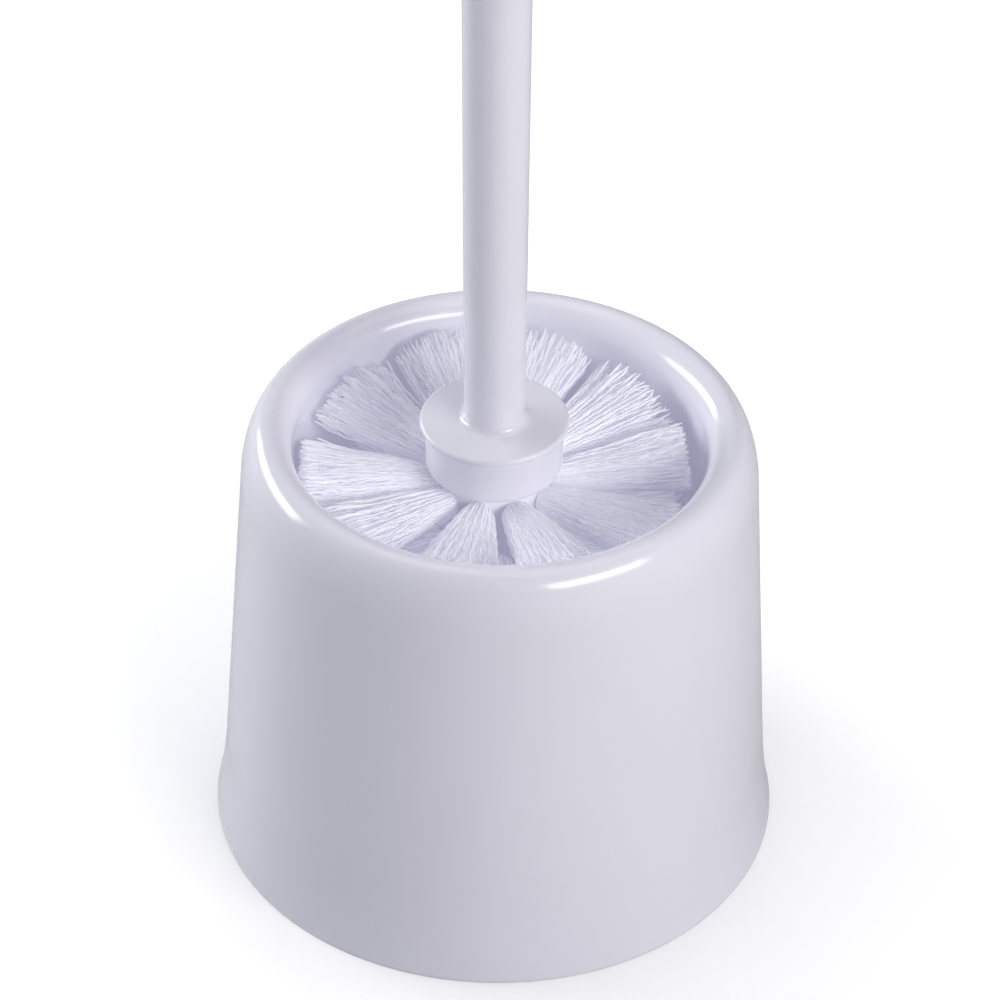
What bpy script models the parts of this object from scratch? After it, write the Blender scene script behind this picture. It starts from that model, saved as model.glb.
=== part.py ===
"""A toilet brush standing in its holder.

The holder, called the pot, is one double-walled moulding: an outer skirt, a rolled rim and an
inner cup, open underneath. The brush is a hollow handle with a cap in its top end, a core that is
pressed onto the handle's spigot, and bristle tufts, each in its own blind hole in the core. The
brush stands loose in the cup, so it leans a little, and it lifts straight up out of the pot.

Metres, +Z up. The origin is the centre of the pot's base, on the surface that it stands on.
"""

import math

import bmesh
import bpy
from mathutils import Matrix, Vector

MM = 0.001
GAP = 0.3 * MM  # between pieces that touch on the real object
WALL = 2.4 * MM  # of the pot

# The pot's outside.
POT_HEIGHT = 115.6 * MM
CREST_RADIUS = 55.2 * MM  # the highest circle of the rim
SHOULDER_WIDTH = 6.8 * MM
SHOULDER_HEIGHT = 16.0 * MM
SKIRT_SLOPE = 0.0725  # gain in radius for each metre down
FLARE_HEIGHT = 21.0 * MM
FLARE_WIDTH = 1.4 * MM
FOOT_EDGE = 0.5 * MM  # the small round along both edges of the foot

# The pot's inside.
LIP_WIDTH = 5.6 * MM
LIP_HEIGHT = 6.6 * MM
CUP_SLOPE = math.tan(math.radians(1.0))
CUP_FLOOR = 8.0 * MM
CUP_CORNER = 6.0 * MM

# The brush as it stands in the cup: its foot's shift along X, and its lean towards -X.
BRUSH_SHIFT = -0.4 * MM
BRUSH_LEAN = math.radians(0.55)

# The handle.
FLANGE_TOP = 117.6 * MM
FLANGE_RADIUS = 17.8 * MM
FLANGE_THICKNESS = 1.8 * MM
ROD_RADIUS = 7.23 * MM  # where it meets the flange
ROD_SLOPE = 0.0046  # gain in radius for each metre up
ROD_FILLET = 2.0 * MM
ROD_TOP = 362.0 * MM
BORE_WALL = 2.0 * MM
BORE_BOTTOM = 126.0 * MM
SPIGOT_RADIUS = 5.6 * MM
SPIGOT_LENGTH = 26.0 * MM
SPIGOT_CHAMFER = 1.0 * MM

# The cap in the handle's top end.
CAP_TOP = 381.0 * MM
CAP_DOME = 8.0 * MM
PLUG_LENGTH = 14.0 * MM
HANG_HOLE_RADIUS = 3.5 * MM
HANG_HOLE_HEIGHT = 370.5 * MM

# The core.
COLLAR_RADIUS = 16.4 * MM
COLLAR_BOTTOM = 106.0 * MM
COLLAR_ROUND = 2.9 * MM
CORE_RADIUS = 13.5 * MM
CORE_STRAIGHT_BOTTOM = 30.0 * MM
CORE_BOTTOM = 20.5 * MM

# The tufts. A tuft starts as a round plug in its hole and fans out from there.
HOLE_RADIUS = 2.8 * MM
HOLE_DEPTH = 4.0 * MM
ROOT_RADIUS = 4.0 * MM  # just outside the core
ROOT_REACH = 2.6 * MM  # how far outside the core the root has that radius
TIP_ROUND = 1.6 * MM
FIRST_TUFT_ANGLE = math.radians(-104)

RING_COUNT = 10  # tufts in a ring
TOP_RING = 98.8 * MM  # height of the highest ring's middle on the core
RING_SPACING = 14.7 * MM

# Each ring of tufts from the top down: name, upward tilt in degrees, radius that its tips reach,
# half width and half height of a tuft at its tips.
RINGS = (
    ("tuft_a", 6, 47.5 * MM, 11.8 * MM, 8.2 * MM),
    ("tuft_b", 0, 47.0 * MM, 11.6 * MM, 6.8 * MM),
    ("tuft_c", 0, 46.5 * MM, 11.6 * MM, 6.8 * MM),
    ("tuft_d", 0, 46.0 * MM, 11.4 * MM, 6.8 * MM),
    ("tuft_e", -6, 44.0 * MM, 11.0 * MM, 6.8 * MM),
)

# The slanting tufts around the core's rounded end, and the one under it.
END_COUNT = 5
END_TILT = -38
END_AXIS_HEIGHT = 34.0 * MM  # where a slanting tuft's line meets the brush's axis
END_SURFACE = 15.4 * MM  # along that line to just outside the core
END_LENGTH = 35.0 * MM  # along that line to the tips
END_HALF_WIDTH = 11.0 * MM
END_HALF_HEIGHT = 5.0 * MM
BOTTOM_LENGTH = 12.0 * MM  # below the core
BOTTOM_HALF_WIDTH = 7.0 * MM

POT_SIDES = 48
ROUND_SIDES = 32
TUFT_SIDES = 8
ON_AXIS = 1e-7


def clear_scene():
    for thing in list(bpy.data.objects):
        bpy.data.objects.remove(thing)


def plastic(name, colour, roughness):
    material = bpy.data.materials.new(name)
    material.use_nodes = True
    shader = material.node_tree.nodes["Principled BSDF"]
    shader.inputs["Base Color"].default_value = (*colour, 1.0)
    shader.inputs["Roughness"].default_value = roughness
    shader.inputs["Metallic"].default_value = 0.0
    return material


def add_object(name, shape, material, parent=None):
    """An object from a bmesh, shaded smooth except across its sharp edges."""
    mesh = bpy.data.meshes.new(name)
    shape.to_mesh(mesh)
    shape.free()
    mesh.materials.append(material)
    return place_mesh(name, mesh, parent)


def place_mesh(name, mesh, parent=None):
    mesh.shade_smooth()
    mesh.set_sharp_from_angle(angle=math.radians(35))
    thing = bpy.data.objects.new(name, mesh)
    bpy.context.scene.collection.objects.link(thing)
    thing.parent = parent
    return thing


def arc(centre, radii, start, end, steps):
    """Points along an elliptical arc in the (radius, height) plane, both ends included."""
    points = []
    for step in range(steps + 1):
        angle = math.radians(start + (end - start) * step / steps)
        across = centre[0] + radii[0] * math.cos(angle)
        up = centre[1] + radii[1] * math.sin(angle)
        points.append((across, up))
    return points


def band(shape, ring, next_ring):
    """The faces between two rings of vertices, either of which may be a single vertex."""
    sides = max(len(ring), len(next_ring))
    for side in range(sides):
        after = (side + 1) % sides
        if len(ring) == 1:
            corners = (ring[0], next_ring[after], next_ring[side])
        elif len(next_ring) == 1:
            corners = (ring[side], ring[after], next_ring[0])
        else:
            corners = (ring[side], ring[after], next_ring[after], next_ring[side])
        shape.faces.new(corners)


def turned(outline, sides):
    """A solid turned about Z. The outline starts and ends on the axis, with the solid on its left."""
    shape = bmesh.new()
    rings = []
    for radius, height in outline:
        if radius < ON_AXIS:
            rings.append([shape.verts.new((0, 0, height))])
            continue
        ring = []
        for side in range(sides):
            angle = math.tau * side / sides
            place = (radius * math.cos(angle), radius * math.sin(angle), height)
            ring.append(shape.verts.new(place))
        rings.append(ring)
    for ring, next_ring in zip(rings, rings[1:]):
        band(shape, ring, next_ring)
    return shape


def cut(thing, cutter):
    """Cuts one object with another, which stays as a guide."""
    cutter.hide_render = True
    cutter.display_type = "WIRE"
    modifier = thing.modifiers.new("cut", "BOOLEAN")
    modifier.operation = "DIFFERENCE"
    modifier.solver = "EXACT"
    modifier.object = cutter


def rod_radius(height):
    return ROD_RADIUS + ROD_SLOPE * (height - FLANGE_TOP)


def skirt_radius(height):
    """The skirt's outside: a cone that runs into the rim's shoulder, with a soft flare at the foot."""
    start = shoulder_start()
    angle = math.radians(start)
    top_radius = CREST_RADIUS + SHOULDER_WIDTH * math.cos(angle)
    top_height = POT_HEIGHT - SHOULDER_HEIGHT * (1 - math.sin(angle))
    flare = max(0.0, 1 - height / FLARE_HEIGHT) ** 2
    return top_radius + SKIRT_SLOPE * (top_height - height) + FLARE_WIDTH * flare


def shoulder_start():
    """The angle on the shoulder's ellipse, in degrees, where it is as steep as the skirt."""
    return math.degrees(math.atan(SKIRT_SLOPE * SHOULDER_HEIGHT / SHOULDER_WIDTH))


def pot_outline():
    shoulder_base = POT_HEIGHT - SHOULDER_HEIGHT
    lip_base = POT_HEIGHT - LIP_HEIGHT
    mouth_radius = CREST_RADIUS - LIP_WIDTH
    corner_top = CUP_FLOOR + CUP_CORNER
    corner_radius = mouth_radius - CUP_SLOPE * (lip_base - corner_top)
    corner_centre = corner_radius - CUP_CORNER
    underside = [(0.0, CUP_FLOOR - WALL)]
    underside += arc((corner_centre, corner_top), (CUP_CORNER + WALL,) * 2, -90, 0, 3)
    inside_crest = POT_HEIGHT - WALL
    underside += arc(
        (CREST_RADIUS, lip_base),
        (LIP_WIDTH - WALL, inside_crest - lip_base),
        180,
        90,
        2,
    )
    underside += arc(
        (CREST_RADIUS, shoulder_base),
        (SHOULDER_WIDTH - WALL, inside_crest - shoulder_base),
        60,
        0,
        2,
    )
    for height in (FLARE_HEIGHT, FLARE_HEIGHT / 2, FOOT_EDGE):
        underside.append((skirt_radius(height) - WALL, height))
    foot_radius = skirt_radius(0.0)
    foot = [
        (foot_radius - WALL + FOOT_EDGE, 0.0),
        (foot_radius - FOOT_EDGE, 0.0),
    ]
    outside = []
    for height in (FOOT_EDGE, FLARE_HEIGHT / 3, FLARE_HEIGHT * 2 / 3, FLARE_HEIGHT):
        outside.append((skirt_radius(height), height))
    rim = arc(
        (CREST_RADIUS, shoulder_base),
        (SHOULDER_WIDTH, SHOULDER_HEIGHT),
        shoulder_start(),
        90,
        5,
    )
    rim += arc((CREST_RADIUS, lip_base), (LIP_WIDTH, LIP_HEIGHT), 90, 180, 4)[1:]
    cup = arc((corner_centre, corner_top), (CUP_CORNER,) * 2, 0, -90, 3)
    cup.append((0.0, CUP_FLOOR))
    return underside + foot + outside + rim + cup


def make_pot():
    material = plastic("pot_plastic", (0.72, 0.71, 0.80), 0.28)
    return add_object("pot", turned(pot_outline(), POT_SIDES), material)


def make_handle(brush):
    flange_bottom = FLANGE_TOP - FLANGE_THICKNESS
    lip = FLANGE_THICKNESS / 2
    spigot_bottom = flange_bottom - SPIGOT_LENGTH
    outline = [
        (0.0, spigot_bottom),
        (SPIGOT_RADIUS - SPIGOT_CHAMFER, spigot_bottom),
        (SPIGOT_RADIUS, spigot_bottom + SPIGOT_CHAMFER),
        (SPIGOT_RADIUS, flange_bottom),
    ]
    outline += arc((FLANGE_RADIUS - lip, flange_bottom + lip), (lip, lip), -90, 90, 4)
    fillet_centre = (ROD_RADIUS + ROD_FILLET, FLANGE_TOP + ROD_FILLET)
    outline += arc(fillet_centre, (ROD_FILLET, ROD_FILLET), -90, -180, 4)
    bore_radius = rod_radius(BORE_BOTTOM) - BORE_WALL
    outline += [
        (rod_radius(ROD_TOP), ROD_TOP),
        (rod_radius(ROD_TOP) - BORE_WALL, ROD_TOP),
        (bore_radius, BORE_BOTTOM + bore_radius / 2),
        (bore_radius / 2, BORE_BOTTOM),
        (0.0, BORE_BOTTOM),
    ]
    material = plastic("handle_plastic", (0.74, 0.73, 0.82), 0.24)
    return add_object("handle", turned(outline, ROUND_SIDES), material, brush)


def make_end_cap(brush):
    cap_radius = rod_radius(ROD_TOP)
    plug_bottom = ROD_TOP - PLUG_LENGTH
    plug_top_radius = cap_radius - BORE_WALL - GAP
    plug_bottom_radius = rod_radius(plug_bottom) - BORE_WALL - GAP
    outline = [
        (0.0, plug_bottom),
        (plug_bottom_radius - SPIGOT_CHAMFER, plug_bottom),
        (plug_bottom_radius, plug_bottom + SPIGOT_CHAMFER),
        (plug_top_radius, ROD_TOP + GAP),
        (cap_radius, ROD_TOP + GAP),
    ]
    outline += arc((0.0, CAP_TOP - CAP_DOME), (cap_radius, CAP_DOME), 0, 90, 6)
    material = plastic("end_cap_plastic", (0.74, 0.73, 0.82), 0.26)
    cap = add_object("end_cap", turned(outline, ROUND_SIDES), material, brush)

    hole = bmesh.new()
    lying = Matrix.Rotation(math.radians(90), 4, "X")
    bmesh.ops.create_cone(
        hole,
        cap_ends=True,
        segments=16,
        radius1=HANG_HOLE_RADIUS,
        radius2=HANG_HOLE_RADIUS,
        depth=4 * cap_radius,
        matrix=Matrix.Translation((0, 0, HANG_HOLE_HEIGHT)) @ lying,
    )
    cut(cap, add_object("hang_hole_cutter", hole, material, brush))
    return cap


def core_outline():
    """The collar, its rounded underside, the straight core and its rounded end, with the socket."""
    collar_top = FLANGE_TOP - FLANGE_THICKNESS - GAP
    socket_bottom = FLANGE_TOP - FLANGE_THICKNESS - SPIGOT_LENGTH - GAP
    socket_radius = SPIGOT_RADIUS + GAP
    end_height = CORE_STRAIGHT_BOTTOM - CORE_BOTTOM
    outline = arc((0.0, CORE_STRAIGHT_BOTTOM), (CORE_RADIUS, end_height), -90, 0, 5)
    outline[0] = (0.0, CORE_BOTTOM)
    round_centre = (COLLAR_RADIUS - COLLAR_ROUND, COLLAR_BOTTOM)
    outline += arc(round_centre, (COLLAR_ROUND, COLLAR_ROUND), -90, 0, 4)
    outline += [
        (COLLAR_RADIUS, collar_top),
        (socket_radius, collar_top),
        (socket_radius, socket_bottom),
        (0.0, socket_bottom),
    ]
    return outline


def along(angle, tilt, height):
    """Turns a tuft made along +X to its direction, from the point where its line meets the axis."""
    turn = Matrix.Rotation(angle, 4, "Z")
    slant = Matrix.Rotation(-math.radians(tilt), 4, "Y")
    return Matrix.Translation((0, 0, height)) @ turn @ slant


def plug_ring(shape, distance, radius):
    """A ring of a tuft's vertices around +X, at this distance along it."""
    ring = []
    for side in range(TUFT_SIDES):
        angle = math.tau * (side + 0.5) / TUFT_SIDES
        place = (distance, radius * math.cos(angle), radius * math.sin(angle))
        ring.append(shape.verts.new(place))
    return ring


def tuft_mesh(name, surface, tip, half_width, half_height, material):
    """A tuft along +X: a plug from its hole to the core's surface, then a fan to a rounded tip.

    The fan's bristles spread as rays, so its tip is part of an ellipsoid around its apex.
    """
    shape = bmesh.new()
    start = surface - HOLE_DEPTH + GAP
    root = surface + ROOT_REACH
    rings = [[shape.verts.new((start, 0, 0))]]
    rings.append(plug_ring(shape, start, HOLE_RADIUS - GAP))
    rings.append(plug_ring(shape, surface, HOLE_RADIUS - GAP))
    rings.append(plug_ring(shape, root, ROOT_RADIUS))
    for reach, spread in ((tip - TIP_ROUND, 1.0), (tip, 0.86)):
        ring = []
        for side in range(TUFT_SIDES):
            angle = math.tau * (side + 0.5) / TUFT_SIDES
            yaw = math.atan2(half_width, tip) * spread * math.cos(angle)
            pitch = math.atan2(half_height, tip) * spread * math.sin(angle)
            ray = Vector((math.cos(yaw) * math.cos(pitch), math.sin(yaw), math.sin(pitch)))
            ring.append(shape.verts.new(reach * ray))
        rings.append(ring)
    rings.append([shape.verts.new((tip, 0, 0))])
    for ring, next_ring in zip(rings, rings[1:]):
        band(shape, ring, next_ring)
    mesh = bpy.data.meshes.new(name)
    shape.to_mesh(mesh)
    shape.free()
    mesh.materials.append(material)
    return mesh


def add_hole(holes, pose, surface):
    """A blind hole's cutter along a tuft's line."""
    shape = bmesh.new()
    rings = [[shape.verts.new((surface - HOLE_DEPTH, 0, 0))]]
    outer_end = surface + HOLE_DEPTH
    rings.append(plug_ring(shape, surface - HOLE_DEPTH, HOLE_RADIUS))
    rings.append(plug_ring(shape, outer_end, HOLE_RADIUS))
    rings.append([shape.verts.new((outer_end, 0, 0))])
    for ring, next_ring in zip(rings, rings[1:]):
        band(shape, ring, next_ring)
    shape.transform(pose)
    piece = bpy.data.meshes.new("hole")
    shape.to_mesh(piece)
    shape.free()
    holes.from_mesh(piece)
    bpy.data.meshes.remove(piece)


def make_head(brush):
    """The core and all its tufts."""
    core_plastic = plastic("core_plastic", (0.74, 0.73, 0.82), 0.30)
    bristle = plastic("bristle", (0.80, 0.80, 0.88), 0.35)
    core = add_object("head_core", turned(core_outline(), ROUND_SIDES), core_plastic, brush)
    holes = bmesh.new()

    def add_tuft(name, mesh, pose, surface):
        tuft = place_mesh(name, mesh, brush)
        tuft.matrix_local = pose
        add_hole(holes, pose, surface)

    for row, (name, tilt, tip, half_width, half_height) in enumerate(RINGS):
        mesh = tuft_mesh(name, CORE_RADIUS, tip, half_width, half_height, bristle)
        half_step = math.pi / RING_COUNT * (row % 2)
        level = TOP_RING - row * RING_SPACING
        axis_height = level - CORE_RADIUS * math.tan(math.radians(tilt))
        for index in range(RING_COUNT):
            angle = FIRST_TUFT_ANGLE + math.tau * index / RING_COUNT + half_step
            pose = along(angle, tilt, axis_height)
            add_tuft(f"{name}_{index + 1:02d}", mesh, pose, CORE_RADIUS)

    mesh = tuft_mesh("tuft_f", END_SURFACE, END_LENGTH, END_HALF_WIDTH, END_HALF_HEIGHT, bristle)
    for index in range(END_COUNT):
        angle = FIRST_TUFT_ANGLE + math.tau * index / END_COUNT
        pose = along(angle, END_TILT, END_AXIS_HEIGHT)
        add_tuft(f"tuft_f_{index + 1:02d}", mesh, pose, END_SURFACE)

    surface = CORE_STRAIGHT_BOTTOM - CORE_BOTTOM
    tip = surface + BOTTOM_LENGTH
    mesh = tuft_mesh("tuft_g", surface, tip, BOTTOM_HALF_WIDTH, BOTTOM_HALF_WIDTH, bristle)
    add_tuft("tuft_g_01", mesh, along(0.0, -90, CORE_STRAIGHT_BOTTOM), surface)

    cut(core, add_object("tuft_hole_cutter", holes, core_plastic, brush))


def make_brush():
    """Every piece of the brush hangs on one empty, which holds its shift and its lean."""
    brush = bpy.data.objects.new("brush", None)
    brush.location.x = BRUSH_SHIFT
    brush.rotation_euler.y = -BRUSH_LEAN
    bpy.context.scene.collection.objects.link(brush)
    make_handle(brush)
    make_end_cap(brush)
    make_head(brush)


clear_scene()
make_pot()
make_brush()
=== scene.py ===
import math

import bmesh
import bpy
import numpy as np
from mathutils import Matrix, Vector


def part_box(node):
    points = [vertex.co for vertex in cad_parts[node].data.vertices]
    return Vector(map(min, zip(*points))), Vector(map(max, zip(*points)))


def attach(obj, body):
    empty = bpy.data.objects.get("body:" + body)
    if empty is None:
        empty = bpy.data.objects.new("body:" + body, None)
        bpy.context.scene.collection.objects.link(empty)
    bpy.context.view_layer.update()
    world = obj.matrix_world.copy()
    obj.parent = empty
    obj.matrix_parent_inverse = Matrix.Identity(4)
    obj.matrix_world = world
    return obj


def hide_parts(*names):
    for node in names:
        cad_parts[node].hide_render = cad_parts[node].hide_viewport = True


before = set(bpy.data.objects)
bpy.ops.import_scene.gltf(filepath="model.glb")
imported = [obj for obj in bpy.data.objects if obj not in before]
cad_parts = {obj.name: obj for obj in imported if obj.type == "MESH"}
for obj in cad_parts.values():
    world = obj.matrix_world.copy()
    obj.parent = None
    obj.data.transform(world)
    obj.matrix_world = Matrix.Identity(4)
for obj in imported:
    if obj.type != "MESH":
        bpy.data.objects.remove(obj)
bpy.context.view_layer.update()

# Metres, in the frame of the CAD model: +Z up, the photographed side towards -Y.
MM = 0.001
SEED = 7

# The pot, from its CAD box and the shape of its rim.
pot_low, pot_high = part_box("pot")
FOOT_RADIUS = pot_high.x
POT_HEIGHT = pot_high.z
WALL = 2.4 * MM
CREST_RADIUS = 55.2 * MM
SHOULDER = (6.8 * MM, 16.0 * MM)
LIP = (5.6 * MM, 6.6 * MM)
SKIRT_SLOPE = 0.0725
FLARE = (1.4 * MM, 21.0 * MM)
CUP_SLOPE = math.tan(math.radians(1.0))
CUP_FLOOR = 8.0 * MM
CUP_CORNER = 6.0 * MM

# The brush stands loose in the cup: the shift of its foot and its lean. Its pieces are made on
# the Z axis and then moved by this. Its turned pieces keep their radii along Y, which the lean
# leaves alone.
BRUSH_STANCE = Matrix.Translation((-0.4 * MM, 0, 0)) @ Matrix.Rotation(math.radians(-0.55), 4, "Y")
GAP = 0.3 * MM

# The handle.
FLANGE_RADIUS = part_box("handle")[1].y
FLANGE_TOP = 117.6 * MM
FLANGE_THICKNESS = 1.8 * MM
FLANGE_BOTTOM = FLANGE_TOP - FLANGE_THICKNESS
ROD_RADIUS = 7.23 * MM
ROD_SLOPE = 0.0046
ROD_TOP = 362.0 * MM
ROD_FILLET = 2.0 * MM
BORE_WALL = 2.0 * MM
BORE_BOTTOM = 126.0 * MM
SPIGOT_RADIUS = 5.6 * MM
SPIGOT_BOTTOM = FLANGE_BOTTOM - 26.0 * MM
CHAMFER = 1.0 * MM

# The end cap.
CAP_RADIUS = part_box("end_cap")[1].y
CAP_TOP = 381.0 * MM
CAP_DOME = 8.0 * MM
PLUG_BOTTOM = ROD_TOP - 14.0 * MM
HANG_HOLE = (3.5 * MM, 370.5 * MM)

# The core.
COLLAR_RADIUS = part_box("head_core")[1].y
COLLAR_TOP = FLANGE_BOTTOM - GAP
COLLAR_BOTTOM = 106.0 * MM
COLLAR_ROUND = 2.9 * MM
CORE_RADIUS = 13.5 * MM
CORE_END = 30.0 * MM
CORE_BOTTOM = 20.5 * MM

# The tufts.
HOLE_RADIUS = 2.8 * MM
HOLE_DEPTH = 4.0 * MM
RING_COUNT = 10
TOP_RING = 98.8 * MM
RING_SPACING = 14.7 * MM
FIRST_TUFT_ANGLE = math.radians(-104)
STRAND_RADIUS = 0.29 * MM
CRIMP_LENGTH = 4.6 * MM
CRIMP = 0.15 * MM
WANDER_LENGTH = (13 * MM, 28 * MM)
WANDER = (0.1 * MM, 0.7 * MM)
ROOT_BULGE = 1.4 * MM
LOCK_PULL = 0.3  # how far each strand leans towards the middle of its lock
AIM_SCATTER = 0.045
CUT_SPREAD = 0.7 * MM
CUT_LOSS = 0.6 * MM
STRAY_SHARE = 0.09
STRAY_CUT = (2 * MM, 5 * MM)

# Each ring from the top down: name, upward tilt in degrees, tip radius, half width and half height
# at the tips, strands in a tuft, and points in a strand.
RINGS = (
    ("tuft_a", 6, 47.5 * MM, 11.8 * MM, 6.8 * MM, 230, 48),
    ("tuft_b", 0, 47.0 * MM, 11.8 * MM, 6.6 * MM, 150, 36),
    ("tuft_c", 0, 46.5 * MM, 11.6 * MM, 6.6 * MM, 60, 36),
    ("tuft_d", 0, 46.0 * MM, 11.4 * MM, 6.6 * MM, 60, 36),
    ("tuft_e", -6, 44.0 * MM, 11.0 * MM, 6.6 * MM, 60, 36),
)
END_COUNT = 5
END_TILT = -38
END_AXIS_HEIGHT = 34.0 * MM
END_SURFACE = 15.4 * MM
END_LENGTH = 35.0 * MM
END_HALF = (11.5 * MM, 6.0 * MM)
BOTTOM_LENGTH = 11.6 * MM
BOTTOM_HALF = 7.0 * MM

# How far hands and use have bent each of the top ring's tufts sideways and upwards, in degrees,
# and how wide each has opened.
TOP_BENDS = (3, 1, 0, 4, 1, -3, -5, -8, 0, -3)
TOP_LIFTS = (0, 0, 0, 1, 2, 7, 7, 3, 0, 0)
TOP_WIDTHS = (1.1, 1.02, 1.02, 1.06, 1.35, 1.04, 1.1, 1.3, 1.1, 1.2)

# Smoothness.
POT_SIDES = 240
ROUND_SIDES = 128


# ---------------------------------------------------------------- shapes


def arc(centre, radii, start, end, steps):
    """Points along an elliptical arc in the (radius, height) plane, both ends included."""
    angles = np.radians(np.linspace(start, end, steps + 1))
    across = centre[0] + radii[0] * np.cos(angles)
    up = centre[1] + radii[1] * np.sin(angles)
    return list(zip(across, up))


def line(start, end, steps):
    """Points along a straight stretch, without its first one."""
    shares = np.linspace(0, 1, steps + 1)[1:]
    return [tuple(np.array(start) + share * (np.array(end) - start)) for share in shares]


def new_piece(name, shape, material, smooth_angle=40):
    """An object from a bmesh, smooth except across its sharp edges."""
    mesh = bpy.data.meshes.new(name)
    shape.to_mesh(mesh)
    shape.free()
    mesh.materials.append(material)
    mesh.shade_smooth()
    mesh.set_sharp_from_angle(angle=math.radians(smooth_angle))
    piece = bpy.data.objects.new(name, mesh)
    bpy.context.scene.collection.objects.link(piece)
    return piece


def turned(outline, sides):
    """A solid turned about Z. The outline runs from axis to axis, with the solid on its left."""
    shape = bmesh.new()
    rings = []
    for radius, height in outline:
        if radius < 1e-7:
            rings.append([shape.verts.new((0, 0, height))])
            continue
        turn = [math.tau * side / sides for side in range(sides)]
        rings.append(
            [shape.verts.new((radius * math.cos(a), radius * math.sin(a), height)) for a in turn]
        )
    for ring, after in zip(rings, rings[1:]):
        for side in range(sides):
            there = (side + 1) % sides
            if len(ring) == 1:
                corners = (ring[0], after[there], after[side])
            elif len(after) == 1:
                corners = (ring[side], ring[there], after[0])
            else:
                corners = (ring[side], ring[there], after[there], after[side])
            shape.faces.new(corners)
    return shape


def subtract(piece, cutter):
    """Cuts one object with another for good, and removes the cutter."""
    modifier = piece.modifiers.new("cut", "BOOLEAN")
    modifier.operation = "DIFFERENCE"
    modifier.solver = "EXACT"
    modifier.object = cutter
    graph = bpy.context.evaluated_depsgraph_get()
    cut = bpy.data.meshes.new_from_object(piece.evaluated_get(graph))
    piece.modifiers.clear()
    piece.data = cut
    cut.name = piece.name
    bpy.data.objects.remove(cutter)
    cut.shade_smooth()
    cut.set_sharp_from_angle(angle=math.radians(40))


# ---------------------------------------------------------------- materials


class Surface:
    """A Principled material and the nodes that vary it."""

    def __init__(self, name, colour, roughness):
        self.material = bpy.data.materials.new(name)
        self.material.use_nodes = True
        self.tree = self.material.node_tree
        self.shader = self.tree.nodes["Principled BSDF"]
        self.shader.inputs["Base Color"].default_value = (*colour, 1)
        self.shader.inputs["Roughness"].default_value = roughness
        self.shader.inputs["IOR"].default_value = 1.49
        self.place = self.add("ShaderNodeTexCoord").outputs["Object"]

    def add(self, kind, **settings):
        node = self.tree.nodes.new(kind)
        for name, value in settings.items():
            setattr(node, name, value)
        return node

    def link(self, out, into):
        self.tree.links.new(out, into)

    def noise(self, scale, detail):
        """A noise of this many features a metre."""
        node = self.add("ShaderNodeTexNoise")
        node.inputs["Scale"].default_value = scale
        node.inputs["Detail"].default_value = detail
        self.link(self.place, node.inputs["Vector"])
        return node.outputs["Fac"]

    def ramp(self, value, stops):
        """Colours by value, between two (place, colour) stops."""
        node = self.add("ShaderNodeValToRGB")
        node.color_ramp.interpolation = "B_SPLINE"
        for element, (place, colour) in zip(node.color_ramp.elements, stops):
            element.position = place
            element.color = (*colour, 1)
        self.link(value, node.inputs["Fac"])
        return node.outputs["Color"]

    def spread(self, value, low, high):
        """Maps a noise softly to low..high."""
        return self.remap(value, (0.0, 1.0), (low, high), "SMOOTHSTEP")

    def remap(self, value, source, target, interpolation="LINEAR"):
        """Maps the source range of a value to the target range, and clamps it there."""
        node = self.add("ShaderNodeMapRange", interpolation_type=interpolation)
        node.inputs["From Min"].default_value, node.inputs["From Max"].default_value = source
        node.inputs["To Min"].default_value, node.inputs["To Max"].default_value = target
        self.link(value, node.inputs["Value"])
        return node.outputs["Result"]

    def calculate(self, operation, first, second):
        node = self.add("ShaderNodeMath", operation=operation)
        self.link(first, node.inputs[0])
        self.link(second, node.inputs[1])
        return node.outputs[0]

    def glow(self, colour, distance):
        """Stands in for light that scatters in thin strands: it fills what nearby ones shade."""
        shaded = self.add("ShaderNodeAmbientOcclusion", samples=4)
        shaded.inputs["Distance"].default_value = distance
        fill = self.ramp(shaded.outputs["AO"], [(0.0, colour), (0.8, (0, 0, 0))])
        self.link(fill, self.shader.inputs["Emission Color"])
        self.shader.inputs["Emission Strength"].default_value = 1.0

    def bump(self, value, depth, under=None):
        """The normal of a relief this deep, on top of another bump's normal if one is given."""
        node = self.add("ShaderNodeBump")
        node.inputs["Distance"].default_value = depth
        self.link(value, node.inputs["Height"])
        if under is not None:
            self.link(under, node.inputs["Normal"])
        return node.outputs["Normal"]


def shade(colour, factor):
    return tuple(channel * factor for channel in colour)


def moulded_plastic(name, colour, roughness):
    """Glossy white polypropylene: faintly cloudy, with faint waves and a slightly uneven gloss."""
    surface = Surface(name, colour, roughness)
    cloud = surface.ramp(surface.noise(26, 1), [(0, shade(colour, 0.97)), (1, shade(colour, 1.02))])
    surface.link(cloud, surface.shader.inputs["Base Color"])
    rough = surface.spread(surface.noise(55, 1), roughness * 0.85, roughness * 1.2)
    surface.link(rough, surface.shader.inputs["Roughness"])
    wavy = surface.bump(surface.noise(40, 0), 0.03 * MM)
    peel = surface.bump(surface.noise(320, 0), 0.002 * MM, under=wavy)
    surface.link(peel, surface.shader.inputs["Normal"])
    return surface.material


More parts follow.
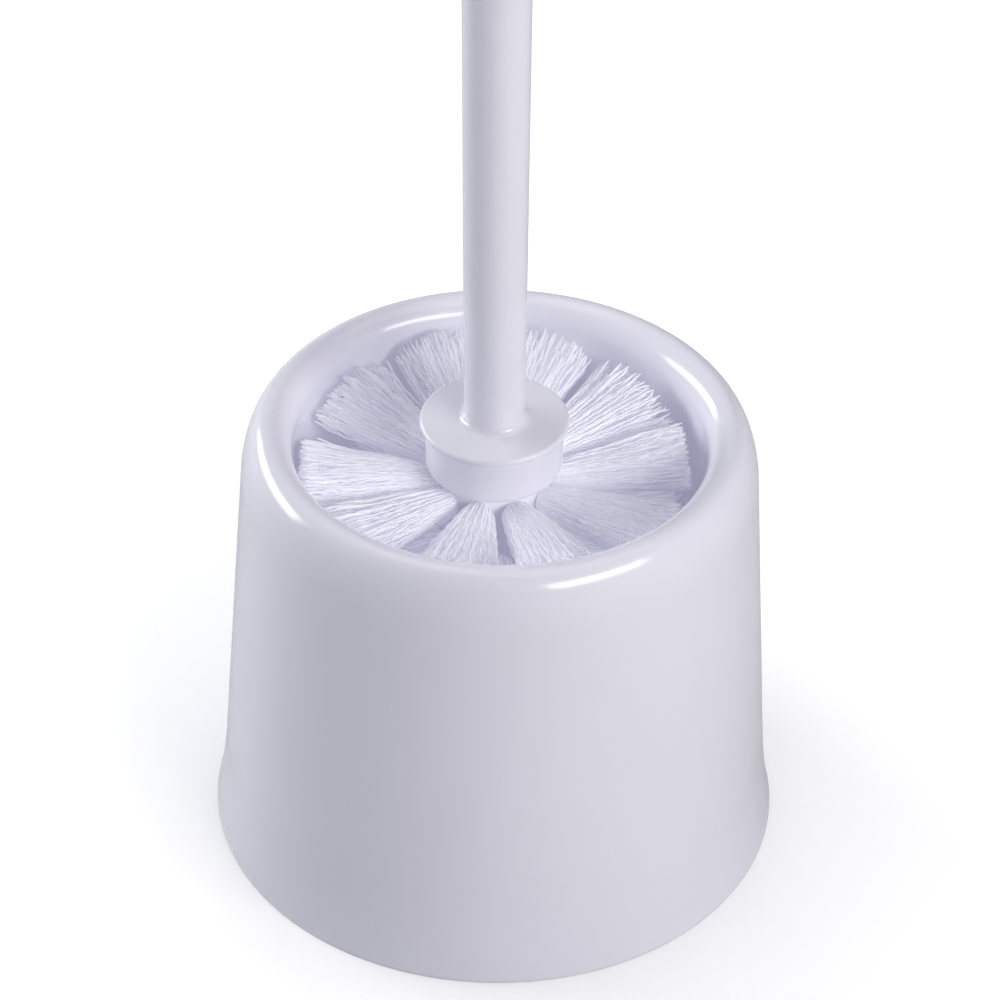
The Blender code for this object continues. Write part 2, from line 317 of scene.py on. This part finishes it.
def bristle_plastic(name, colour):
    """White bristle: each strand has its own faint shade, and is faintly mottled."""
    surface = Surface(name, colour, 0.4)
    strand = surface.add("ShaderNodeAttribute", attribute_name="strand")
    tone = surface.ramp(strand.outputs["Fac"], [(0, shade(colour, 0.96)), (1, shade(colour, 1.02))])
    mottle = surface.ramp(surface.noise(700, 2), [(0.3, (0.97, 0.97, 0.98)), (0.7, (1, 1, 1))])
    mixed = surface.add("ShaderNodeMix", data_type="RGBA", blend_type="MULTIPLY")
    mixed.inputs["Factor"].default_value = 1.0
    surface.link(tone, mixed.inputs["A"])
    surface.link(mottle, mixed.inputs["B"])
    surface.link(mixed.outputs["Result"], surface.shader.inputs["Base Color"])
    rough = surface.spread(surface.noise(900, 2), 0.34, 0.48)
    surface.link(rough, surface.shader.inputs["Roughness"])
    surface.glow(BRISTLE_GLOW, BRISTLE_GLOW_REACH)
    return surface.material


POT_WHITE = (0.86, 0.85, 0.905)
HANDLE_WHITE = (0.86, 0.85, 0.90)
BRISTLE_WHITE = (0.935, 0.935, 0.97)
BRISTLE_GLOW = (0.125, 0.127, 0.145)
BRISTLE_GLOW_REACH = 12 * MM
POT_ROUGHNESS = 0.17
HANDLE_ROUGHNESS = 0.07
CORE_ROUGHNESS = 0.24


# ---------------------------------------------------------------- the pot


def skirt_radius(height):
    flare = max(0.0, 1 - height / FLARE[1]) ** 2
    return FOOT_RADIUS - FLARE[0] - SKIRT_SLOPE * height + FLARE[0] * flare


def make_pot():
    crest = (CREST_RADIUS, POT_HEIGHT)
    shoulder_centre = (crest[0], crest[1] - SHOULDER[1])
    lip_centre = (crest[0], crest[1] - LIP[1])
    shoulder_start = math.degrees(math.atan(SKIRT_SLOPE * SHOULDER[1] / SHOULDER[0]))
    corner_top = CUP_FLOOR + CUP_CORNER
    corner_radius = crest[0] - LIP[0] - CUP_SLOPE * (lip_centre[1] - corner_top)
    corner_centre = (corner_radius - CUP_CORNER, corner_top)
    under_crest = crest[1] - WALL

    outline = [(0.0, CUP_FLOOR - WALL)]
    outline += arc(corner_centre, (CUP_CORNER + WALL,) * 2, -90, 0, 12)
    lip_inside = (LIP[0] - WALL, under_crest - lip_centre[1])
    outline += arc(lip_centre, lip_inside, 180, 90, 10)
    shoulder_inside = (SHOULDER[0] - WALL, under_crest - shoulder_centre[1])
    outline += arc(shoulder_centre, shoulder_inside, 84, 0, 14)
    for height in np.linspace(FLARE[1], 1 * MM, 10):
        outline.append((skirt_radius(height) - WALL, height))
    edge = 0.5 * MM
    foot = skirt_radius(0.0)
    outline += arc((foot - WALL + edge, edge), (edge, edge), 180, 270, 4)
    outline += arc((foot - edge, edge), (edge, edge), -90, 0, 4)
    for height in np.linspace(1 * MM, FLARE[1], 16):
        outline.append((skirt_radius(height), height))
    start = arc(shoulder_centre, SHOULDER, shoulder_start, 90, 30)
    outline += line(outline[-1], start[0], 12) + start[1:]
    outline += arc(lip_centre, LIP, 90, 180, 24)[1:]
    corner = arc(corner_centre, (CUP_CORNER,) * 2, 0, -90, 12)
    outline += line(outline[-1], corner[0], 12) + corner[1:]
    outline += line(outline[-1], (0.0, CUP_FLOOR), 6)
    material = moulded_plastic("pot_plastic", POT_WHITE, POT_ROUGHNESS)
    pot = new_piece("holder_pot", turned(outline, POT_SIDES), material, 60)
    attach(pot, "pot")
    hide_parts("pot")


# ---------------------------------------------------------------- the brush


def rod_radius(height):
    return ROD_RADIUS + ROD_SLOPE * (height - FLANGE_TOP)


def make_handle(material):
    lip = FLANGE_THICKNESS / 2
    outline = [(0.0, SPIGOT_BOTTOM), (SPIGOT_RADIUS - CHAMFER, SPIGOT_BOTTOM)]
    outline += [(SPIGOT_RADIUS, SPIGOT_BOTTOM + CHAMFER), (SPIGOT_RADIUS, FLANGE_BOTTOM)]
    outline += arc((FLANGE_RADIUS - lip, FLANGE_BOTTOM + lip), (lip, lip), -90, 90, 14)
    fillet = (ROD_RADIUS + ROD_FILLET, FLANGE_TOP + ROD_FILLET)
    outline += arc(fillet, (ROD_FILLET,) * 2, -90, -180, 14)
    top = rod_radius(ROD_TOP)
    edge = 0.25 * MM
    outline += line(outline[-1], (top, ROD_TOP - edge), 24)
    outline += arc((top - edge, ROD_TOP - edge), (edge, edge), 0, 90, 3)[1:]
    bore = rod_radius(BORE_BOTTOM) - BORE_WALL
    outline += [(top - BORE_WALL, ROD_TOP), (bore, BORE_BOTTOM + bore / 2)]
    outline += [(bore / 2, BORE_BOTTOM), (0.0, BORE_BOTTOM)]
    handle = new_piece("brush_handle", turned(outline, ROUND_SIDES), material)
    handle.data.transform(BRUSH_STANCE)
    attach(handle, "brush")
    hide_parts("handle")


def make_end_cap(material):
    plug_radius = rod_radius(PLUG_BOTTOM) - BORE_WALL - GAP
    seat = ROD_TOP + GAP
    edge = 0.25 * MM
    outline = [(0.0, PLUG_BOTTOM), (plug_radius - CHAMFER, PLUG_BOTTOM)]
    outline += [(plug_radius, PLUG_BOTTOM + CHAMFER), (CAP_RADIUS - BORE_WALL - GAP, seat)]
    outline += arc((CAP_RADIUS - edge, seat + edge), (edge, edge), -90, 0, 3)
    dome_base = CAP_TOP - CAP_DOME
    outline += line(outline[-1], (CAP_RADIUS, dome_base), 20)
    outline += arc((0.0, dome_base), (CAP_RADIUS, CAP_DOME), 0, 90, 20)[1:]
    outline[-1] = (0.0, CAP_TOP)
    cap = new_piece("brush_end_cap", turned(outline, ROUND_SIDES), material)

    # The hole flares softly towards both of its mouths.
    radius, height = HANG_HOLE
    reach = CAP_RADIUS * 1.3
    bell = [(0.0, -reach)]
    for along in np.linspace(-reach, reach, 41):
        bell.append((radius + 1.1 * MM * (abs(along) / CAP_RADIUS) ** 6, along))
    bell.append((0.0, reach))
    shape = turned(bell, 64)
    lying = Matrix.Translation((0, 0, height)) @ Matrix.Rotation(math.radians(90), 4, "X")
    shape.transform(lying)
    subtract(cap, new_piece("hole_cutter", shape, material))
    cap.data.transform(BRUSH_STANCE)
    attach(cap, "brush")
    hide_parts("end_cap")


def make_core(material, poses):
    """The collar and core, with a blind hole for each tuft."""
    outline = arc((0.0, CORE_END), (CORE_RADIUS, CORE_END - CORE_BOTTOM), -90, 0, 20)
    outline[0] = (0.0, CORE_BOTTOM)
    round_centre = (COLLAR_RADIUS - COLLAR_ROUND, COLLAR_BOTTOM)
    outline += line(outline[-1], (CORE_RADIUS, COLLAR_BOTTOM - COLLAR_ROUND), 30)
    outline += arc(round_centre, (COLLAR_ROUND,) * 2, -90, 0, 12)[1:]
    edge = 0.3 * MM
    outline += arc((COLLAR_RADIUS - edge, COLLAR_TOP - edge), (edge, edge), 0, 90, 3)
    socket = SPIGOT_RADIUS + GAP
    outline += [(socket, COLLAR_TOP), (socket, SPIGOT_BOTTOM - GAP), (0.0, SPIGOT_BOTTOM - GAP)]
    core = new_piece("brush_core", turned(outline, ROUND_SIDES), material)

    holes = bmesh.new()
    for surface, pose in poses:
        depth = surface - HOLE_DEPTH
        bmesh.ops.create_cone(
            holes,
            cap_ends=True,
            segments=24,
            radius1=HOLE_RADIUS,
            radius2=HOLE_RADIUS,
            depth=2 * HOLE_DEPTH,
            matrix=pose
            @ Matrix.Translation((depth + HOLE_DEPTH, 0, 0))
            @ Matrix.Rotation(math.radians(90), 4, "Y"),
        )
    subtract(core, new_piece("holes_cutter", holes, material))
    core.data.transform(BRUSH_STANCE)
    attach(core, "brush")
    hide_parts("head_core")


# ---------------------------------------------------------------- the bristles


def smooth_step(values):
    values = np.clip(values, 0, 1)
    return values * values * (3 - 2 * values)


def strands(rng, count, points, surface, tip, half_width, half_height, bend, flat_tip):
    """Centre lines of a tuft's strands along +X, as an array (strand, point, xyz).

    Each strand leaves the hole where it sits in it, bulges out at the hole's mouth and then runs
    straight, so that the tuft opens like a fan, bent by two angles, sideways and upwards. The
    strands stand in loose locks, and those of a lock share their crimp, a wave in one plane.
    """
    golden = math.pi * (3 - math.sqrt(5))  # the angle that fills a disc evenly
    index = np.arange(count)
    radius = np.sqrt((index + 0.5) / count)
    turn = index * golden + rng.uniform(0, math.tau)
    own = np.stack([radius * np.cos(turn), radius * np.sin(turn)], axis=1)
    start = surface - HOLE_DEPTH + GAP
    room = HOLE_RADIUS - GAP - STRAND_RADIUS
    span = tip - surface
    fan = (half_width - HOLE_RADIUS - ROOT_BULGE) / span
    rise = (half_height - HOLE_RADIUS - ROOT_BULGE) / span

    lock_count = max(5, count // 7)
    lock_turn = np.arange(lock_count) * golden + rng.uniform(0, math.tau)
    lock_radius = np.sqrt((np.arange(lock_count) + 0.5) / lock_count)
    locks = np.stack([lock_radius * np.cos(lock_turn), lock_radius * np.sin(lock_turn)], axis=1)
    lock = np.argmin(np.linalg.norm(own[:, None] - locks[None], axis=2), axis=1)
    aim = own * (1 - LOCK_PULL) + locks[lock] * LOCK_PULL
    aim = aim + rng.normal(0, AIM_SCATTER, (count, 2))
    yaw = fan * aim[:, 0] + math.tan(bend[0])
    pitch = rise * aim[:, 1] + math.tan(bend[1])

    # Where each strand ends: on a cylinder about the brush's axis, with ragged cuts.
    reach = tip - np.abs(rng.normal(0, CUT_SPREAD, count)) - rng.uniform(0, CUT_LOSS, count)
    stray = rng.random(count) < STRAY_SHARE
    reach = np.where(stray, tip - rng.uniform(*STRAY_CUT, count), reach)
    end = reach.copy()
    if not flat_tip:
        for _ in range(4):
            side = own[:, 0] * room + yaw * (end - surface)
            end = np.sqrt(np.maximum(reach**2 - side**2, 0))

    share = np.linspace(0, 1, points)[None, :]
    along = start + share * (end - start)[:, None]
    out = np.maximum(along - surface, 0)
    bulge = ROOT_BULGE * (1 - np.exp(-out / (0.5 * ROOT_BULGE)))
    side = own[:, :1] * (room + bulge) + yaw[:, None] * out
    up = own[:, 1:] * (room + bulge) + pitch[:, None] * out

    # The crimp and a slower wander, both growing out of the root.
    loose = smooth_step(out / (10 * MM))
    lock_plane = rng.uniform(-0.6, 0.6, lock_count)
    lock_phase = rng.uniform(0, math.tau, lock_count)
    lock_length = CRIMP_LENGTH * rng.uniform(0.85, 1.2, lock_count)
    plane = (lock_plane[lock] + rng.normal(0, 0.35, count))[:, None]
    phase = (lock_phase[lock] + rng.normal(0, 0.7, count))[:, None]
    length = (lock_length[lock] * rng.uniform(0.95, 1.05, count))[:, None]
    size = CRIMP * rng.uniform(0.6, 1.2, count)[:, None]
    wave = size * loose * np.sin(math.tau * along / length + phase)
    side = side + wave * np.cos(plane)
    up = up + wave * np.sin(plane)
    for axis in (side, up):
        slow = rng.uniform(*WANDER_LENGTH, count)[:, None]
        shift = rng.uniform(0, math.tau, count)[:, None]
        amount = rng.uniform(*WANDER, count)[:, None]
        axis += amount * loose * share**1.5 * np.sin(math.tau * along / slow + shift)
    return np.stack([along, side, up], axis=2)


def tubes(name, lines, material, rng):
    """One mesh of a four-sided smooth tube along each line."""
    count, points, _ = lines.shape
    tangent = np.gradient(lines, axis=1)
    tangent /= np.linalg.norm(tangent, axis=2, keepdims=True)
    reference = np.array([0.0, 0.0, 1.0])
    first = np.cross(tangent, reference)
    first /= np.linalg.norm(first, axis=2, keepdims=True)
    second = np.cross(tangent, first)
    sides = 4
    thick = STRAND_RADIUS * np.ones((count, points, 1))
    thick *= rng.uniform(0.85, 1.12, (count, 1, 1))
    thick[:, -1] *= 0.55
    rings = []
    for side in range(sides):
        angle = math.tau * side / sides
        rings.append(lines + thick * (math.cos(angle) * first + math.sin(angle) * second))
    vertices = np.stack(rings, axis=2).reshape(-1, 3)

    at = (np.arange(count)[:, None] * points + np.arange(points)[None]) * sides
    low, high = at[:, :-1], at[:, 1:]
    quads = []
    for side in range(sides):
        there = (side + 1) % sides
        quads.append(np.stack([low + side, low + there, high + there, high + side], axis=2))
    walls = np.stack(quads, axis=2).reshape(-1, 4)
    root = at[:, 0]
    tip = at[:, -1]
    caps = [
        np.stack([root + 3, root + 2, root + 1, root], axis=1),
        np.stack([tip, tip + 1, tip + 2, tip + 3], axis=1),
    ]
    faces = np.concatenate([walls, *caps])[:, ::-1]

    mesh = bpy.data.meshes.new(name)
    mesh.vertices.add(len(vertices))
    mesh.vertices.foreach_set("co", vertices.astype(np.float32).ravel())
    mesh.loops.add(faces.size)
    mesh.loops.foreach_set("vertex_index", faces.astype(np.int32).ravel())
    mesh.polygons.add(len(faces))
    mesh.polygons.foreach_set("loop_start", np.arange(0, faces.size, 4, dtype=np.int32))
    mesh.update(calc_edges=True)
    mesh.shade_smooth()
    own = mesh.attributes.new("strand", "FLOAT", "POINT")
    shades = np.repeat(rng.random(count), points * sides)
    own.data.foreach_set("value", shades.astype(np.float32))
    mesh.materials.append(material)
    return mesh


def along_axis(angle, tilt, height):
    """Turns a tuft made along +X to its direction, from the point where its line meets the axis."""
    turn = Matrix.Rotation(angle, 4, "Z")
    slant = Matrix.Rotation(-math.radians(tilt), 4, "Y")
    return Matrix.Translation((0, 0, height)) @ turn @ slant


def plan_tufts():
    """Every tuft as (name, surface, pose, tip, half width, half height, strands, points, bend)."""
    plan = []
    for row, ring in enumerate(RINGS):
        name, tilt, tip, half_width, half_height, strand_count, points = ring
        half_step = math.pi / RING_COUNT * (row % 2)
        level = TOP_RING - row * RING_SPACING
        axis_height = level - CORE_RADIUS * math.tan(math.radians(tilt))
        for index in range(RING_COUNT):
            angle = FIRST_TUFT_ANGLE + math.tau * index / RING_COUNT + half_step
            pose = along_axis(angle, tilt, axis_height)
            width, bend = half_width, (0.0, 0.0)
            if row == 0:
                width *= TOP_WIDTHS[index]
                bend = (math.radians(TOP_BENDS[index]), math.radians(TOP_LIFTS[index]))
            shape = (tip, width, half_height, strand_count, points, bend)
            plan.append((f"{name}_{index + 1:02d}", CORE_RADIUS, pose, *shape))
    for index in range(END_COUNT):
        angle = FIRST_TUFT_ANGLE + math.tau * index / END_COUNT
        pose = along_axis(angle, END_TILT, END_AXIS_HEIGHT)
        shape = (END_LENGTH, *END_HALF, 60, 36, (0.0, 0.0))
        plan.append((f"tuft_f_{index + 1:02d}", END_SURFACE, pose, *shape))
    surface = CORE_END - CORE_BOTTOM
    pose = along_axis(0.0, -90, CORE_END)
    shape = (surface + BOTTOM_LENGTH, BOTTOM_HALF, BOTTOM_HALF, 60, 28, (0.0, 0.0))
    plan.append(("tuft_g_01", surface, pose, *shape))
    return plan


def make_tufts(plan, material):
    rng = np.random.default_rng(SEED)
    for name, surface, pose, tip, half_width, half_height, count, points, bend in plan:
        flat_tip = name.startswith(("tuft_f", "tuft_g"))
        shape = (count, points, surface, tip, half_width, half_height, bend, flat_tip)
        label = name.replace("tuft", "bristles")
        mesh = tubes(label, strands(rng, *shape), material, rng)
        mesh.transform(BRUSH_STANCE @ pose)
        tuft = bpy.data.objects.new(label, mesh)
        bpy.context.scene.collection.objects.link(tuft)
        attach(tuft, "brush")
        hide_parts(name)


# ---------------------------------------------------------------- the studio


FLOOR_HALF_SIZE = 4.0
FLOOR_GLOW = 0.62
CONTACT_REACH = 90 * MM
LAMPLIGHT_EDGE = (0.3, 1.3)  # how far out the lamps' light starts to fade, and has faded
ROOM_BRIGHTNESS = 0.8
LAMP_AIM = Vector((0, 0, 0.1))

# The view of the photograph: its height, slight roll and distance, the point that it looks at, and
# the focal length on a sensor this wide, in millimetres.
VIEW_ELEVATION = math.radians(37.68)
VIEW_ROLL = math.radians(1.12)
VIEW_DISTANCE = 0.867
VIEW_AIM = Vector((0.16, 0, 92.72)) * MM
FOCAL_LENGTH = 129.6
SENSOR_WIDTH = 36.0


def make_floor():
    """A pale floor that looks white to the camera, but throws back no more light than a grey one.

    Its glow, which only the camera sees, is weaker close to the object, as a soft contact shadow,
    and stronger far out, where the lamps hardly reach.
    """
    shape = bmesh.new()
    bmesh.ops.create_grid(shape, x_segments=8, y_segments=8, size=FLOOR_HALF_SIZE)
    surface = Surface("floor_white", (0.6, 0.6, 0.6), 0.9)
    surface.shader.inputs["Specular IOR Level"].default_value = 0.0
    surface.shader.inputs["Emission Color"].default_value = (1, 1, 1, 1)

    contact = surface.add("ShaderNodeAmbientOcclusion")
    contact.inputs["Distance"].default_value = CONTACT_REACH
    near = surface.remap(contact.outputs["AO"], (0.4, 1.0), (FLOOR_GLOW * 0.5, FLOOR_GLOW))
    distance = surface.add("ShaderNodeVectorMath", operation="LENGTH")
    surface.link(surface.place, distance.inputs[0])
    far = surface.remap(distance.outputs["Value"], LAMPLIGHT_EDGE, (0.0, 1.0 - FLOOR_GLOW))
    ray = surface.add("ShaderNodeLightPath")
    seen = surface.calculate(
        "MULTIPLY", ray.outputs["Is Camera Ray"], surface.calculate("ADD", near, far)
    )
    surface.link(seen, surface.shader.inputs["Emission Strength"])
    new_piece("floor", shape, surface.material)


def make_world():
    """A dim lavender room with a white horizon, which the camera sees as plain white."""
    world = bpy.data.worlds.new("studio")
    bpy.context.scene.world = world
    world.use_nodes = True
    tree = world.node_tree
    background = tree.nodes["Background"]
    place = tree.nodes.new("ShaderNodeTexCoord")
    split = tree.nodes.new("ShaderNodeSeparateXYZ")
    ramp = tree.nodes.new("ShaderNodeValToRGB")
    tree.links.new(place.outputs["Generated"], split.inputs[0])
    tree.links.new(split.outputs["Z"], ramp.inputs["Fac"])
    tree.links.new(ramp.outputs["Color"], background.inputs["Color"])
    low, high = ramp.color_ramp.elements
    low.position, low.color = 0.02, (1.0, 1.0, 1.0, 1)
    high.position, high.color = 0.08, (0.05, 0.056, 0.17, 1)
    background.inputs["Strength"].default_value = ROOM_BRIGHTNESS
    backdrop = tree.nodes.new("ShaderNodeBackground")
    backdrop.inputs["Color"].default_value = (1, 1, 1, 1)
    ray = tree.nodes.new("ShaderNodeLightPath")
    mixed = tree.nodes.new("ShaderNodeMixShader")
    tree.links.new(ray.outputs["Is Camera Ray"], mixed.inputs[0])
    tree.links.new(background.outputs[0], mixed.inputs[1])
    tree.links.new(backdrop.outputs[0], mixed.inputs[2])
    tree.links.new(mixed.outputs[0], tree.nodes["World Output"].inputs["Surface"])


def softbox(name, azimuth, elevation, distance, size, radiance, colour):
    """A rectangular lamp turned to LAMP_AIM. Azimuth counts from +X, anticlockwise."""
    turn, lift = math.radians(azimuth), math.radians(elevation)
    out = Vector((math.cos(turn) * math.cos(lift), math.sin(turn) * math.cos(lift), math.sin(lift)))
    lamp = bpy.data.lights.new(name, "AREA")
    lamp.shape = "RECTANGLE"
    lamp.size, lamp.size_y = size
    lamp.energy = radiance * math.pi * size[0] * size[1]
    lamp.color = colour
    light = bpy.data.objects.new(name, lamp)
    light.location = LAMP_AIM + out * distance
    light.rotation_mode = "QUATERNION"
    light.rotation_quaternion = out.to_track_quat("Z", "Y")
    bpy.context.scene.collection.objects.link(light)


def make_lights():
    softbox("key", -47, 26, 1.2, (0.85, 0.3), 10.9, (1.0, 0.985, 0.95))
    softbox("left", 154, 16, 1.2, (0.95, 0.38), 9.8, (0.97, 0.99, 0.97))
    softbox("overhead", 60, 82, 1.4, (1.3, 1.3), 1.55, (1.0, 0.97, 0.9))


def make_camera():
    back = Vector((0, -math.cos(VIEW_ELEVATION), math.sin(VIEW_ELEVATION)))
    data = bpy.data.cameras.new("camera")
    data.sensor_width = SENSOR_WIDTH
    data.lens = FOCAL_LENGTH
    data.clip_start, data.clip_end = 0.05, 50.0
    camera = bpy.data.objects.new("camera", data)
    level = back.to_track_quat("Z", "Y").to_matrix().to_4x4()
    roll = Matrix.Rotation(VIEW_ROLL, 4, "Z")
    camera.matrix_world = Matrix.Translation(VIEW_AIM + back * VIEW_DISTANCE) @ level @ roll
    bpy.context.scene.collection.objects.link(camera)
    bpy.context.scene.camera = camera


def main():
    make_camera()
    make_floor()
    make_world()
    make_lights()
    bpy.context.scene.view_settings.view_transform = "Standard"
    # Enough bounces for light to find its way through the tufts and back out of the cup.
    bpy.context.scene.cycles.diffuse_bounces = 12

    handle_plastic = moulded_plastic("handle_plastic", HANDLE_WHITE, HANDLE_ROUGHNESS)
    core_plastic = moulded_plastic("core_plastic", HANDLE_WHITE, CORE_ROUGHNESS)
    bristle = bristle_plastic("bristle", BRISTLE_WHITE)
    plan = plan_tufts()
    make_pot()
    make_handle(handle_plastic)
    make_end_cap(handle_plastic)
    make_core(core_plastic, [(surface, pose) for _, surface, pose, *_ in plan])
    make_tufts(plan, bristle)


main()
